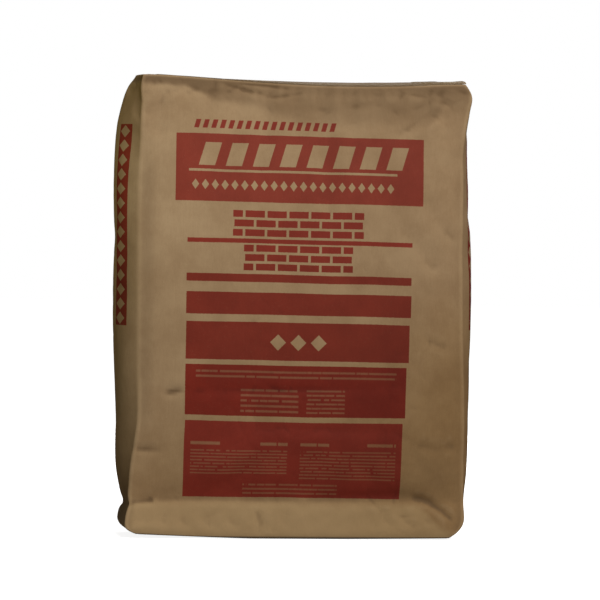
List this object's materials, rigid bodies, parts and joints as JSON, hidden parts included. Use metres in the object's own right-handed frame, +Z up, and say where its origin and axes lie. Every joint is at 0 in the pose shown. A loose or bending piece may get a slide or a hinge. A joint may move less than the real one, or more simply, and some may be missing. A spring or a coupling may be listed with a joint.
{
  "type": "cement bag",
  "caption": "Filled kraft paper cement bag, a pasted valve sack with folded ends and cover strips, standing on its flat bottom end. Bulged body, printed face panel.",
  "frame": {"origin": "middle of the footprint, on the floor that the bag stands on", "axes": "+Z up along the bag's height; X along the printed face, +X to the viewer's right; the printed front looks towards -Y"},
  "size_m": [0.4488, 0.1262, 0.5732],
  "materials": {
    "kraft_paper": "matt brown kraft with a dull red print",
    "strip_paper": "matt brown kraft, pasted down",
    "sleeve_paper": "matt pale kraft, dusty with cement"
  },
  "bodies": {
    "root": {"paper_sack": "kraft_paper", "top_cover_strip": "strip_paper", "bottom_cover_strip": "strip_paper", "valve_sleeve": "sleeve_paper"}
  },
  "joints": []
}
